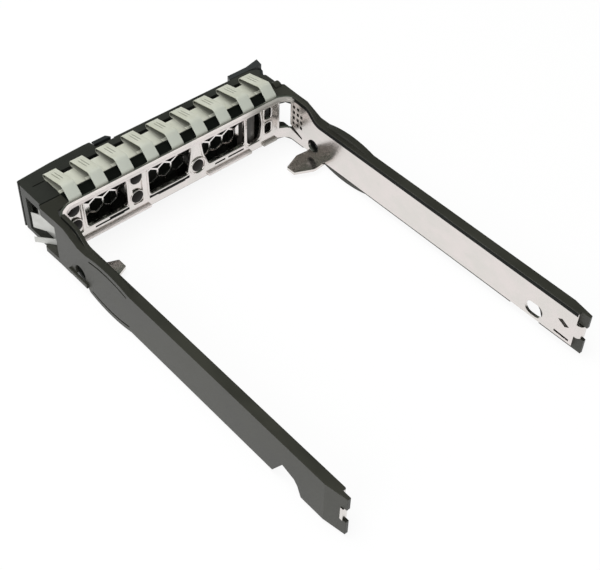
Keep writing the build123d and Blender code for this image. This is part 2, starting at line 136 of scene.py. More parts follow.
class Graph:
    """A tree of shader nodes, of a material or of the world."""

    def __init__(self, owner: bpy.types.Material | bpy.types.World) -> None:
        """Empties the owner's tree.

        Args:
            owner: The material or world that the tree belongs to.
        """
        owner.use_nodes = True
        self.owner = owner
        self.tree = owner.node_tree
        self.tree.nodes.clear()

    def add(
        self,
        kind: str,
        settings: dict[str, object] | None = None,
        inputs: dict[object, object] | None = None,
        output: object = 0,
    ) -> "Signal | None":
        """Adds one node.

        Args:
            kind: The node's type.
            settings: Attributes of the node, set before its sockets.
            inputs: Values or signals for its sockets, by name or number.
            output: Name or number of the output to return.

        Returns:
            The chosen output as a signal, or None if the node has no outputs.
        """
        node = self.tree.nodes.new(kind)
        for key, value in (settings or {}).items():
            setattr(node, key, value)
        for key, value in (inputs or {}).items():
            socket = node.inputs[key]
            if isinstance(value, Signal):
                self.tree.links.new(value.socket, socket)
            elif socket.type == "RGBA":
                socket.default_value = (*value, 1.0)
            else:
                socket.default_value = value
        return Signal(self, node.outputs[output]) if len(node.outputs) else None

    def place(self) -> Signal:
        """Object coordinates of the shaded point."""
        return self.add("ShaderNodeTexCoord", output="Object")

    def along(self, axis: "Axis") -> Signal:
        """One object coordinate of the shaded point, in metres."""
        return self.add("ShaderNodeSeparateXYZ", inputs={0: self.place()}, output=axis.value)

    def shade(self) -> Signal:
        """Painted shade of the shaded point, an attribute of the mesh: 1 where shade is painted in its
        hollows.
        """
        return self.add("ShaderNodeAttribute", {"attribute_name": "shade"}, output="Fac")

    def ray(self, kind: str) -> Signal:
        """1 for rays of one kind, and 0 for the others."""
        return self.add("ShaderNodeLightPath", output=kind)

    def noise(self, scale: tuple[float, float, float], detail: float = 3.0, roughness: float = 0.5) -> Signal:
        """Noise stretched by its scale along each axis.

        Args:
            scale: Cells per metre along X, Y and Z.
            detail: Octaves of the noise.
            roughness: Share of each next octave.

        Returns:
            The noise, about 0.5.
        """
        mapped = self.add("ShaderNodeMapping", inputs={"Vector": self.place(), "Scale": scale})
        values = {"Vector": mapped, "Scale": 1.0, "Detail": detail, "Roughness": roughness}
        return self.add("ShaderNodeTexNoise", inputs=values)

    def blend(self, amount: Signal, first: object, second: object) -> Signal:
        """Colour between two others.

        Args:
            amount: 0 for the first colour, 1 for the second.
            first: A colour or a signal.
            second: A colour or a signal.

        Returns:
            The mixed colour.
        """
        return self.add("ShaderNodeMix", {"data_type": "RGBA"}, {0: amount, 6: first, 7: second}, output=2)

    def relief(self, height: Signal, depth: float, edge: float) -> Signal:
        """Normal from a height, over edges rounded by a small radius.

        Args:
            height: Height of the surface, 0 to 1.
            depth: Height of 1, in metres.
            edge: Radius of the edges, in metres.

        Returns:
            The bent normal.
        """
        rounded_edge = self.add("ShaderNodeBevel", {"samples": 6}, {"Radius": edge})
        values = {"Strength": 1.0, "Distance": depth, "Height": height, "Normal": rounded_edge}
        return self.add("ShaderNodeBump", inputs=values)

    def close(self, surface: Signal) -> bpy.types.Material | bpy.types.World:
        """Joins the surface to the tree's output and returns the owner."""
        kind = "World" if isinstance(self.owner, bpy.types.World) else "Material"
        self.add(f"ShaderNodeOutput{kind}", inputs={"Surface": surface})
        return self.owner

    def finish(self, base: object, roughness: object, normal: Signal, **fixed: float) -> bpy.types.Material:
        """Closes the graph with its shader.

        Args:
            base: Base colour, a signal or three numbers.
            roughness: A number or a signal.
            normal: The bent normal.
            **fixed: Other sockets of the shader, with spaces written as underscores.

        Returns:
            The finished material.
        """
        values = {"Base Color": base, "Roughness": roughness, "Normal": normal}
        values |= {key.replace("_", " "): value for key, value in fixed.items()}
        return self.close(self.add("ShaderNodeBsdfPrincipled", inputs=values))


@dataclass(frozen=True)
class MouldedPlastic:
    """Charcoal moulding with a fine spark-eroded grain and rubbed edges."""

    name: str
    colour: Colour
    roughness: float = 0.42
    grain: float = 9000.0
    grain_depth: float = 0.00002
    edge: float = 0.00022
    gloss: float = 0.5
    pale: float = 1.45
    worn: float = 2.2

    def build(self) -> bpy.types.Material:
        """Makes the material: grain in the relief, slow clouds in the colour and the gloss."""
        graph = Graph(bpy.data.materials.new(self.name))
        clouds = graph.noise((90.0, 60.0, 90.0), detail=4.0)
        scuffs = graph.noise((2200.0, 60.0, 1500.0), detail=3.0, roughness=0.62)
        grain = graph.noise((self.grain,) * 3, detail=2.0)
        pale = tuple(value * self.pale for value in self.colour)
        base = graph.blend(clouds.band(0.35, 0.7), self.colour, pale)
        worn = tuple(value * self.worn + 0.004 for value in self.colour)
        base = graph.blend(scuffs.band(0.68, 0.80) * 0.35, base, worn)
        gloss = self.roughness + (clouds - 0.5) * 0.16 + (grain - 0.5) * 0.10 - scuffs.band(0.66, 0.80) * 0.06
        normal = graph.relief(grain, self.grain_depth, self.edge)
        return graph.finish(base, gloss, normal, Specular_IOR_Level=self.gloss)


@dataclass(frozen=True)
class RolledSteel:
    """Plated steel sheet with faint rolling lines and a soft mottle.

    It turns to a painted shade from one X to another, in metres. The defaults lie off the caddy, so none of
    it is shaded.
    """

    name: str
    colour: Colour
    tint: Colour
    grain: Axis = Axis.Y
    roughness: float = 0.21
    edge: float = 0.00012
    metal: float = 1.0
    far_painted_shade: Colour = (0.43, 0.41, 0.38)
    far_shade_from: float = -1.0
    far_shade_to: float = -2.0

    def build(self) -> bpy.types.Material:
        """Makes the material: streaks along the grain, two tints that drift over it, and a painted shade at
        one end in X.
        """
        graph = Graph(bpy.data.materials.new(self.name))
        scale = [5200.0, 5200.0, 5200.0]
        scale[self.grain.value] = 160.0
        streaks = graph.noise(tuple(scale), detail=3.0, roughness=0.6)
        mottle = graph.noise((170.0, 120.0, 170.0), detail=5.0, roughness=0.62)
        base = graph.blend(mottle.band(0.38, 0.66), self.colour, self.tint)
        # Painted shade: the colour turns darker past one X.
        unshaded = graph.along(Axis.X).band(self.far_shade_to, self.far_shade_from)
        base = graph.blend(unshaded, self.far_painted_shade, base)
        gloss = self.roughness + (streaks - 0.5) * 0.12 + (mottle - 0.5) * 0.10
        normal = graph.relief(streaks, 0.0000025, self.edge)
        return graph.finish(base, gloss, normal, Metallic=self.metal)


@dataclass(frozen=True)
class PlatedSpring:
    """Tin plated spring sheet, satin and slightly green, with a cooler painted light where it turns down and
    painted shade in its hollows.

    The painted light turns it cool from one Y to another, in metres. The defaults lie off the caddy.
    """

    name: str
    colour: Colour
    shade: Colour
    stem_painted_light: Colour
    stem_light_from: float = 1.0
    stem_light_to: float = 2.0
    roughness: float = 0.5
    hollow_painted_shade: Colour = (0.022, 0.022, 0.009)

    def build(self) -> bpy.types.Material:
        """Makes the material: fine scratches, slow clouds of two tints, a cooler painted light past one Y,
        and painted shade in the hollows.
        """
        graph = Graph(bpy.data.materials.new(self.name))
        clouds = graph.noise((420.0, 300.0, 420.0), detail=4.0)
        lines = graph.noise((900.0, 9000.0, 9000.0), detail=2.0)
        base = graph.blend(clouds.band(0.3, 0.72), self.shade, self.colour)
        # Painted light: a cooler colour where the sheet turns down into the stems.
        turned = graph.along(Axis.Y).band(self.stem_light_from, self.stem_light_to)
        base = graph.blend(turned, base, self.stem_painted_light)
        # Painted shade, darkest where the mesh's shade attribute is 1.
        base = graph.blend(graph.shade(), base, self.hollow_painted_shade)
        gloss = self.roughness + (lines - 0.5) * 0.2
        normal = graph.relief(lines, 0.000005, 0.00006)
        return graph.finish(base, gloss, normal, Metallic=0.30)


@dataclass(frozen=True)
class ClearPlastic:
    """Clear light guide, polished."""

    name: str = "clear_plastic"

    def build(self) -> bpy.types.Material:
        """Makes the material, with a few faint flow marks in its gloss."""
        graph = Graph(bpy.data.materials.new(self.name))
        flow = graph.noise((800.0, 200.0, 800.0), detail=2.0)
        normal = graph.relief(flow, 0.000004, 0.0001)
        return graph.finish((0.86, 0.88, 0.86), 0.08 + flow * 0.1, normal, Transmission_Weight=0.85, IOR=1.49)


@dataclass
class Finishes:
    """Every finish of the caddy, made once and worn by node or by new piece."""

    runner: MouldedPlastic = MouldedPlastic("runner_plastic", (0.024, 0.024, 0.019), gloss=0.42)
    bezel: MouldedPlastic = MouldedPlastic("bezel_plastic", (0.021, 0.022, 0.019), gloss=0.34)
    # Near-black: painted shade on the screw bushes, under the runners' lips, in the hem's slits, on the
    # bezel's apron and on the sheet by the post; also the seam's dark joint.
    shade: MouldedPlastic = MouldedPlastic("joint_and_painted_shade_black", (0.004, 0.005, 0.004), roughness=0.6, gloss=0.15)
    peg: MouldedPlastic = MouldedPlastic("peg_plastic", (0.008, 0.006, 0.005), roughness=0.34, gloss=0.12)
    post: MouldedPlastic = MouldedPlastic("post_plastic", (0.060, 0.054, 0.050), roughness=0.34)
    lever: MouldedPlastic = MouldedPlastic("lever_plastic", (0.021, 0.023, 0.024))
    button: MouldedPlastic = MouldedPlastic("button_plastic", (0.017, 0.019, 0.020), roughness=0.36)
    tray: RolledSteel = RolledSteel("tray_steel", (0.72, 0.69, 0.66), (0.77, 0.715, 0.695))
    # Painted shade: the rim and the hem beads turn darker from X = -19 mm to -26 mm and stay so beyond.
    rim: RolledSteel = RolledSteel(
        "burnished_edge",
        (0.88, 0.82, 0.80),
        (0.93, 0.85, 0.83),
        Axis.X,
        0.4,
        metal=0.35,
        far_shade_from=-0.019,
        far_shade_to=-0.026,
    )
    screen: RolledSteel = RolledSteel("screen_steel", (0.80, 0.77, 0.75), (0.84, 0.80, 0.78), Axis.X, 0.16)
    wire: RolledSteel = RolledSteel("spring_steel", (0.55, 0.54, 0.52), (0.5, 0.5, 0.49), Axis.Z, 0.25)
    # The strip's stems take a cooler painted light, which ramps in from Y = -47.4 mm to -44.6 mm.
    contact: PlatedSpring = PlatedSpring(
        "contact_alloy", (0.84, 0.85, 0.74), (0.76, 0.77, 0.65), (0.76, 0.79, 0.71), -0.0474, -0.0446
    )
    clip: PlatedSpring = PlatedSpring("clip_alloy", (0.56, 0.56, 0.54), (0.49, 0.49, 0.47), (0.6, 0.6, 0.6))
    guide: ClearPlastic = ClearPlastic()
    made: dict[str, bpy.types.Material] = field(default_factory=dict)

    def material(self, finish: object) -> bpy.types.Material:
        """The finish's material, made the first time that it is asked for."""
        if finish.name not in self.made:
            self.made[finish.name] = finish.build()
        return self.made[finish.name]

    def dress(self, nodes: dict[str, bpy.types.Object]) -> None:
        """Gives each node of the frame its finish.

        Args:
            nodes: The frame's nodes by name.
        """
        wearers = {
            "runner_right": self.runner,
            "runner_left": self.runner,
            "bezel_body": self.bezel,
            "bezel_face": self.bezel,
            "ejector_lever": self.lever,
            "release_button": self.button,
            "tray_frame": self.tray,
            "vent_screen": self.screen,
            "lever_pin": self.wire,
            "lever_spring": self.wire,
            "button_spring": self.wire,
            "contact_strip_top": self.contact,
            "contact_clip_side": self.clip,
            "light_guide_upper": self.guide,
            "light_guide_lower": self.guide,
        }
        for node, finish in wearers.items():
            materials = nodes[node].data.materials
            materials.clear()
            materials.append(self.material(finish))
            LOG.info("%s wears %s", node, finish.name)


def units(vectors: np.ndarray) -> np.ndarray:
    """Vectors of length 1 in the same directions."""
    return vectors / np.linalg.norm(vectors, axis=-1, keepdims=True)


def rounded(corners: np.ndarray, radius: float, closed: bool = False, steps: int = 7) -> np.ndarray:
    """Line through corners that turns each of them in a smooth bend.

    A bend runs from a = p + r u to b = p + r v, where u and v point from the corner p to its
    neighbours, along a (1 - t)^2 + 2 p t (1 - t) + b t^2.

    Args:
        corners: One row for each corner, in two or three dimensions.
        radius: Distance r from a corner at which its bend starts, cut to 0.45 of the shorter side.
        closed: Whether the last corner is joined to the first.
        steps: Points on each bend.

    Returns:
        The points of the line.
    """
    back = np.roll(corners, 1, axis=0) - corners
    ahead = np.roll(corners, -1, axis=0) - corners
    shorter = np.minimum(np.linalg.norm(back, axis=1), np.linalg.norm(ahead, axis=1))
    reach = np.minimum(radius, 0.45 * shorter)[:, None]
    start = (corners + reach * units(back))[:, None]
    end = (corners + reach * units(ahead))[:, None]
    t = np.linspace(0.0, 1.0, steps)[None, :, None]
    bends = start * (1 - t) ** 2 + 2 * corners[:, None] * t * (1 - t) + end * t**2
    if closed:
        return bends.reshape(-1, corners.shape[1])
    inner = bends[1:-1].reshape(-1, corners.shape[1])
    return np.vstack([corners[:1], inner, corners[-1:]])


def oval(half_width: float, half_height: float, count: int = 12) -> np.ndarray:
    """Section (u, v) = (a cos t, b sin t), with t once round."""
    t = np.linspace(0.0, 2 * math.pi, count, endpoint=False)
    return np.stack([half_width * np.cos(t), half_height * np.sin(t)], axis=1)


def bar(u: tuple[float, float], v: tuple[float, float], radius: float) -> np.ndarray:
    """Rectangular section between two limits each way, with its corners rounded."""
    corners = np.array([(u[0], v[0]), (u[1], v[0]), (u[1], v[1]), (u[0], v[1])])
    return rounded(corners, radius, closed=True, steps=4)


@dataclass(frozen=True)
class Surface:
    """Rings of points, in millimetres about the drive, which quads join to a tube."""

    points: np.ndarray
    round_rows: bool = False
    # Painted shade of each point, or None for none.
    shade: np.ndarray | None = None

    def faces(self, first: int) -> list[list[int]]:
        """Faces over the rings, with a cap at each end unless the tube is closed on itself.

        Args:
            first: Number of the surface's first vertex in the mesh.

        Returns:
            Vertex numbers of each face.
        """
        rows, columns = self.points.shape[:2]
        grid = first + np.arange(rows * columns).reshape(rows, columns)
        caps = [] if self.round_rows else [grid[0, ::-1].tolist(), grid[-1].tolist()]
        if self.round_rows:
            grid = np.vstack([grid, grid[:1]])
        grid = np.hstack([grid, grid[:, :1]])
        quads = np.stack([grid[:-1, :-1], grid[:-1, 1:], grid[1:, 1:], grid[1:, :-1]], axis=-1)
        return quads.reshape(-1, 4).tolist() + caps

    def shades(self) -> np.ndarray:
        """Painted shade of each point, 0 where the surface states none."""
        rows, columns = self.points.shape[:2]
        return np.zeros(rows * columns) if self.shade is None else self.shade.ravel()


def rise(s: np.ndarray, place: float, rate: float) -> np.ndarray:
    """Smooth step 1 / (1 + exp(-(s - place) rate)), which falls where the rate is negative."""
    return 1 / (1 + np.exp(-(s - place) * rate))


def carried(
    section: np.ndarray, path: np.ndarray, flat: tuple[float, float, float], closed: bool = False
) -> Surface:
    """Section carried along a path that lies flat.

    A point is path + u side + v flat. The side is the path's direction turned by a right angle about
    flat, and at a turn it is longer by 1 / cos(half the turn), so that the walls stay parallel.

    Args:
        section: Points (u, v) of the section.
        path: Points of the path.
        flat: Direction that is square to the path all along.
        closed: Whether the path comes round to its start.

    Returns:
        The surface, a tube of that section.
    """
    steps = units(np.roll(path, -1, axis=0) - path)
    if not closed:
        steps[-1] = steps[-2]
    before = np.roll(steps, 1, axis=0)
    if not closed:
        before[0] = steps[0]
    along = units(before + steps)
    stretch = np.sum(along * steps, axis=1, keepdims=True)
    side = np.cross(along, flat) / stretch
    points = path[:, None] + section[None, :, :1] * side[:, None] + section[None, :, 1:] * np.array(flat)
    return Surface(points, round_rows=closed)


def turned(profile: np.ndarray, x: float, z: float, count: int = 40) -> Surface:
    """Profile (radius, y) turned about an axis along Y through (x, z).

    A point is (x + r cos t, y, z + r sin t). The profile starts and ends on the axis, a hair off it.
    """
    t = np.linspace(0.0, 2 * math.pi, count, endpoint=False)[None]
    radius = profile[:, :1]
    y = np.repeat(profile[:, 1:], count, axis=1)
    return Surface(np.stack([x + radius * np.cos(t), y, z + radius * np.sin(t)], axis=-1))


class Bench:
    """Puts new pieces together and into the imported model's frame."""

    def __init__(self, frame: dict, finishes: Finishes) -> None:
        """Finds the drive's place from the front screw's mount.

        Args:
            frame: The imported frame.
            finishes: The caddy's finishes.
        """
        mounts = {mount["name"]: mount["pos_m"] for mount in frame["record"]["mounts"]}
        _, y, z = mounts["front_screw_right"]
        self.origin = np.array([0.0, y, z - SCREW_HEIGHT * MM])
        self.finishes = finishes

    def add(
        self,
        name: str,
        surfaces: list[Surface],
        finish: object,
        slot: str,
        body: str = "caddy",
        smooth: bool = True,
    ) -> bpy.types.Object:
        """Makes one piece.

        Args:
            name: Name of the piece.
            surfaces: Its surfaces, in millimetres about the drive.
            finish: The finish that it wears.
            slot: The record's material slot, not used.
            body: The body that it rides on.
            smooth: Whether its faces are shaded smooth up to 40 degrees.

        Returns:
            The piece.
        """
        faces: list[list[int]] = []
        first = 0
        for surface in surfaces:
            faces += surface.faces(first)
            first += surface.points.shape[0] * surface.points.shape[1]
        points = np.vstack([surface.points.reshape(-1, 3) for surface in surfaces])
        mesh = bpy.data.meshes.new(name)
        mesh.from_pydata((points * MM + self.origin).tolist(), [], faces)
        shell = bmesh.new()
        shell.from_mesh(mesh)
        bmesh.ops.recalc_face_normals(shell, faces=shell.faces)
        shell.to_mesh(mesh)
        shell.free()
        if smooth:
            mesh.shade_smooth()
            mesh.set_sharp_from_angle(angle=SHARP_ANGLE)
        mesh.materials.append(self.finishes.material(finish))
        # Painted shade of each point, kept as the mesh's shade attribute.
        shades = np.concatenate([surface.shades() for surface in surfaces])
        if shades.any():
            mesh.attributes.new("shade", "FLOAT", "POINT").data.foreach_set("value", shades)
        piece = bpy.data.objects.new(name, mesh)
        bpy.context.collection.objects.link(piece)
        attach(piece, body)
        LOG.info("%s rides on %s, %d faces", name, body, len(mesh.polygons))
        return piece


@dataclass(frozen=True)
class Sheet:
    """Sizes of the folded sheet that the trim follows, in millimetres about the drive."""

    inner: float = 35.35
    thickness: float = 0.8
    wall_half: float = 32.5
    wall_rear: float = -11.05
    wall_height: float = 13.3
    flare_rear: float = -8.9
    shoulder_start: float = -2.5
    shoulder_end: float = 0.9
    rail_height: float = 10.4
    rail_rear: float = 89.8
    window_bottom: float = 3.7
    window_top: float = 11.9

    def windows(self) -> list[np.ndarray]:
        """Outlines (x, z) of the wall's large windows, its oval and its two small windows."""
        right = self.wall_half - 4.0
        left = 11.5 - self.wall_half
        low = self.window_bottom
        high = self.window_top
        oval_near = 10.6 - self.wall_half
        oval_far = 6.3 - self.wall_half
        small = (oval_far - 1.7, oval_far - 3.9)
        return [
            np.array([(right, high), (right - 0.4, low), (16.2, low), (16.2, high)]),
            np.array([(9.6, high), (9.6, low), (-2.3, low), (-3.2, 7.5), (-3.9, high)]),
            np.array([(-6.9, high), (-7.6, 7.6), (-9.1, low), (left, low), (left, high)]),
            np.array([
                (oval_near, 2.6), (oval_near, 12.2), (oval_far, 12.2), (oval_far - 0.7, 7.5), (oval_far, 2.6)
            ]),
            np.array([(small[0], 8.4), (small[0], 11.7), (small[1], 11.7), (small[1], 8.4)]),
            np.array([(small[0], 3.8), (small[0], 7.0), (small[1], 7.0), (small[1], 3.8)]),
        ]

    def pegs(self) -> list[tuple[float, float]]:
        """Places (x, z) of the bezel's pegs, with the one in the large ring last."""
        near = [(self.wall_half - 1.0, 11.0), (self.wall_half - 1.2, 5.9)]
        return [*near, (13.3, 11.1), (13.4, 5.1), (-5.6, 4.9)]


@dataclass(frozen=True)
class TrayTrim:
    """Burnished rims of the sheet: its top edge, its windows, the pegs' rings and the hem.

    A ring is its radius, the half width of its section and its height as a share of the beads' height.
    """

    sheet: Sheet = Sheet()
    rim_low: float = 12.4
    rim_proud: float = 0.2
    bead_width: float = 0.30
    bead_height: float = 0.22
    small_ring: tuple[float, float, float] = (1.86, 0.16, 0.9)
    large_ring: tuple[float, float, float] = (2.35, 0.32, 1.8)
    hem_reach: float = 0.72
    # Near-black bars over the hem: painted shadows of its slits.
    shadow_bar_spans: tuple[tuple[float, float], ...] = ((-2.8, 9.7), (16.0, 21.8))
    shadow_bar_reach: tuple[float, float] = (-0.08, 0.3)
    shadow_bar_heights: tuple[float, float] = (2.35, 3.1)

    def top_rim(self) -> Surface:
        """Rim along the wall's top and round both corners: a bar carried along the sheet's plan."""
        sheet = self.sheet
        side = [(sheet.inner, sheet.flare_rear + 1.2), (sheet.inner, sheet.flare_rear)]
        side += [(sheet.inner - 0.85, sheet.flare_rear - 1.1), (sheet.wall_half, sheet.wall_rear)]
        plan = np.array(side + [(-x, y) for x, y in reversed(side)])
        line = rounded(plan, 0.9)
        path = np.column_stack([line, np.zeros(len(line))])
        section = bar((-self.rim_proud, sheet.thickness), (self.rim_low, sheet.wall_height + 0.06), 0.12)
        return carried(section, path, (0.0, 0.0, 1.0))

    def window_beads(self) -> list[Surface]:
        """Pressed bead round each window: an oval section carried round a grown outline."""
        beads = []
        for outline in self.sheet.windows():
            middle = outline.mean(axis=0)
            grown = outline + self.bead_width * np.sign(outline - middle)
            line = rounded(grown, 1.1, closed=True)
            path = np.column_stack([line[:, 0], np.full(len(line), self.sheet.wall_rear), line[:, 1]])
            beads.append(carried(oval(self.bead_width, self.bead_height), path, (0.0, 1.0, 0.0), closed=True))
        return beads

    def peg_rings(self) -> list[Surface]:
        """Rolled ring round each peg: an oval section carried round a circle."""
        t = np.linspace(0.0, 2 * math.pi, 48, endpoint=False)
        y = np.full_like(t, self.sheet.wall_rear)
        pegs = self.sheet.pegs()
        rings = []
        for x, z in pegs:
            radius, half_width, share = self.large_ring if (x, z) == pegs[-1] else self.small_ring
            circle = np.stack([x + radius * np.cos(t), y, z + radius * np.sin(t)], axis=1)
            section = oval(half_width, self.bead_height * share)
            rings.append(carried(section, circle, (0.0, 1.0, 0.0), closed=True))
        return rings

    def hem_beads(self) -> list[Surface]:
        """Folded edge over each stretch of the hem: a bar carried along X."""
        half = self.sheet.wall_half
        rear = self.sheet.wall_rear
        section = bar((-self.hem_reach, 0.1), (-0.02, self.sheet.thickness + 0.08), 0.25)
        beads = []
        for left, right in ((9.9, half - 2.6), (9.5 - half, -8.7), (0.7 - half, 5.1 - half)):
            path = np.linspace((left - 0.05, rear, 0.0), (right + 0.05, rear, 0.0), 6)
            beads.append(carried(section, path, (0.0, 0.0, 1.0)))
        return beads

    def hem_slit_shadows(self) -> list[Surface]:
        """Painted shadows of the hem's slits, under the large windows: near-black bars carried along X."""
        rear = self.sheet.wall_rear
        section = bar(self.shadow_bar_reach, self.shadow_bar_heights, 0.1)
        shadow_bars = []
        for left, right in self.shadow_bar_spans:
            path = np.linspace((left, rear, 0.0), (right, rear, 0.0), 4)
            shadow_bars.append(carried(section, path, (0.0, 0.0, 1.0)))
        return shadow_bars

    def build(self, bench: Bench) -> None:
        """Makes the sheet's trim."""
        rim = bench.finishes.rim
        steel = bench.finishes.tray
        bench.add("wall_rim", [self.top_rim()], rim, "tray_steel")
        bench.add("window_beads", self.window_beads(), steel, "tray_steel")
        bench.add("peg_rings", self.peg_rings(), steel, "tray_steel")
        bench.add("hem_beads", self.hem_beads(), rim, "tray_steel")
        # The bars over the hem are painted slit shadows.
        bench.add("hem_slit_shadows", self.hem_slit_shadows(), bench.finishes.shade, "tray_steel")


@dataclass(frozen=True)
class RunnerTrim:
    """Lips of the runners over the sheet's edge, painted near-black under their caps as shadow, and the webs
    and bushes behind their front scoops.
    """

    sheet: Sheet = Sheet()
    lip_low: float = 0.95
    lip_high: float = 0.38
    lip_proud: float = 0.09
    cap: float = 0.22
    cap_proud: float = 0.02
    scoop: tuple[float, float] = (-4.5, 3.0)
    web: tuple[float, float] = (0.1, 0.7)
    web_heights: tuple[float, float] = (-1.15, 0.55)
    roof_web: tuple[float, float] = (1.7, 2.3)
    roof_web_heights: tuple[float, float] = (0.0, 1.3)
    bush: tuple[float, float] = (1.65, 2.95)
    bush_half: float = 0.5

    def lip(self, side: int, cap: bool) -> Surface:
        """Lip over the rail's and the shoulder's edge, a bar carried along that edge.

        Args:
            side: 1 for the +X rail, -1 for the other.
            cap: Whether it is the lip's cap, or the part under it, painted near-black as a shadow.

        Returns:
            The lip's surface.
        """
        sheet = self.sheet
        middle = sheet.inner + sheet.thickness / 2
        edge = [
            (sheet.flare_rear + 0.4, sheet.wall_height + 0.3),
            (sheet.shoulder_start, sheet.wall_height + 0.1),
            (sheet.shoulder_end, sheet.rail_height),
            (sheet.rail_rear - 1.8, sheet.rail_height),
        ]
        line = rounded(np.array(edge), 1.6)
        path = np.column_stack([np.full(len(line), side * middle), line])
        half = sheet.thickness / 2 + self.lip_proud
        limits = (0.1 - self.lip_high, self.lip_low)
        if cap:
            half += self.cap_proud
            limits = (-self.lip_high, self.cap - self.lip_high)
        return carried(bar(limits, (-half, half), 0.1), path, (1.0, 0.0, 0.0))

    def scoop_web(self, side: int, across: tuple[float, float], heights: tuple[float, float]) -> Surface:
        """Web in the front scoop: a bar carried along Y.

        Args:
            side: 1 for the +X rail, -1 for the other.
            across: Its limits outward of the sheet.
            heights: Its limits in Z.

        Returns:
            The web's surface.
        """
        low, high = sorted(side * (self.sheet.inner + self.sheet.thickness + x) for x in across)
        path = np.linspace((0.0, self.scoop[0], 0.0), (0.0, self.scoop[1], 0.0), 4)
        return carried(bar((low, high), heights, 0.1), path, (0.0, 0.0, 1.0))

    def screw_bush(self, side: int) -> Surface:
        """Bush in the runner's screw recess, near-black as painted shade: a bar carried round the screw's
        axis.
        """
        t = np.linspace(0.0, 2 * math.pi, 48, endpoint=False)
        radius = (self.bush[0] + self.bush[1]) / 2
        x = side * (self.sheet.inner + self.sheet.thickness + self.bush_half + 0.03)
        path = np.stack([np.full(48, x), radius * np.cos(t), SCREW_HEIGHT + radius * np.sin(t)], axis=1)
        half = (self.bush[1] - self.bush[0]) / 2
        section = bar((-half, half), (-self.bush_half, self.bush_half), 0.1)
        return carried(section, path, (1.0, 0.0, 0.0), closed=True)

    def build(self, bench: Bench) -> None:
        """Makes the trim of both runners."""
        finishes = bench.finishes
        for side, name in ((1, "right"), (-1, "left")):
            # The bush wears near-black as painted shade in the recess.
            bench.add(f"screw_bush_{name}", [self.screw_bush(side)], finishes.shade, "runner_plastic")
            # The lip's under part wears near-black as painted shadow; its cap wears the runner's colour.
            bench.add(f"runner_lip_shadow_{name}", [self.lip(side, cap=False)], finishes.shade, "runner_plastic")
            bench.add(f"runner_cap_{name}", [self.lip(side, cap=True)], finishes.runner, "runner_plastic")
            webs = [
                self.scoop_web(side, self.web, self.web_heights),
                self.scoop_web(side, self.roof_web, self.roof_web_heights),
            ]
            bench.add(f"scoop_web_{name}", webs, finishes.runner, "runner_plastic")


